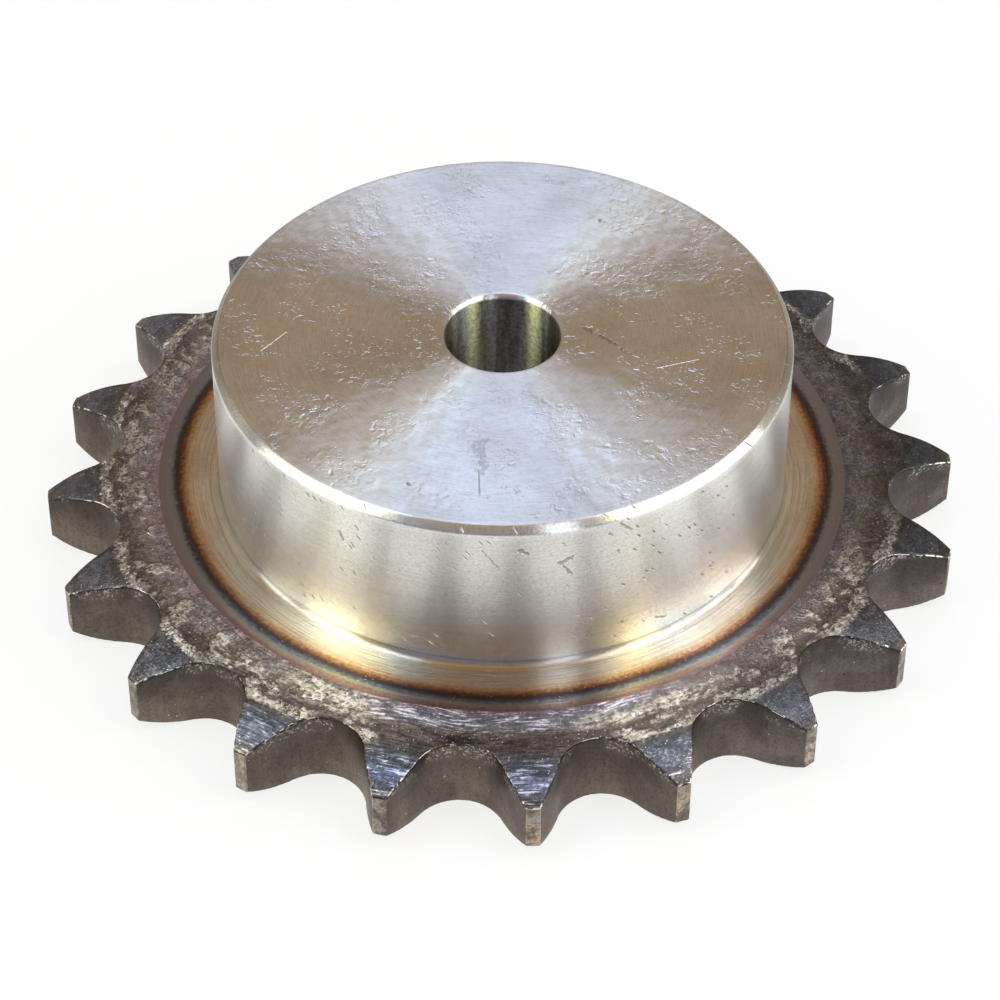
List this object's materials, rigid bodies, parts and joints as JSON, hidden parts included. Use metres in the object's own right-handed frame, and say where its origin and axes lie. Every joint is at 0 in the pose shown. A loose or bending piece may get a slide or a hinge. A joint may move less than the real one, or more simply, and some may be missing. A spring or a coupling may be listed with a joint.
{
  "type": "chain sprocket",
  "caption": "Plate sprocket for simplex roller chain, with a hub on one side and a plain pilot bore, turned from one piece of steel with hardened teeth.",
  "frame": {"origin": "on the axis of the bore, in the plane of the flat back face", "axes": "+Z along the bore axis, from the back face towards the end of the hub; +X through the middle of one tooth"},
  "size_m": [0.1288, 0.1288, 0.0355],
  "materials": {
    "steel": "turned steel hub, mill scale on the plate, heat tint and hardened dark teeth, satin"
  },
  "bodies": {
    "root": {"sprocket": "steel"}
  },
  "joints": []
}
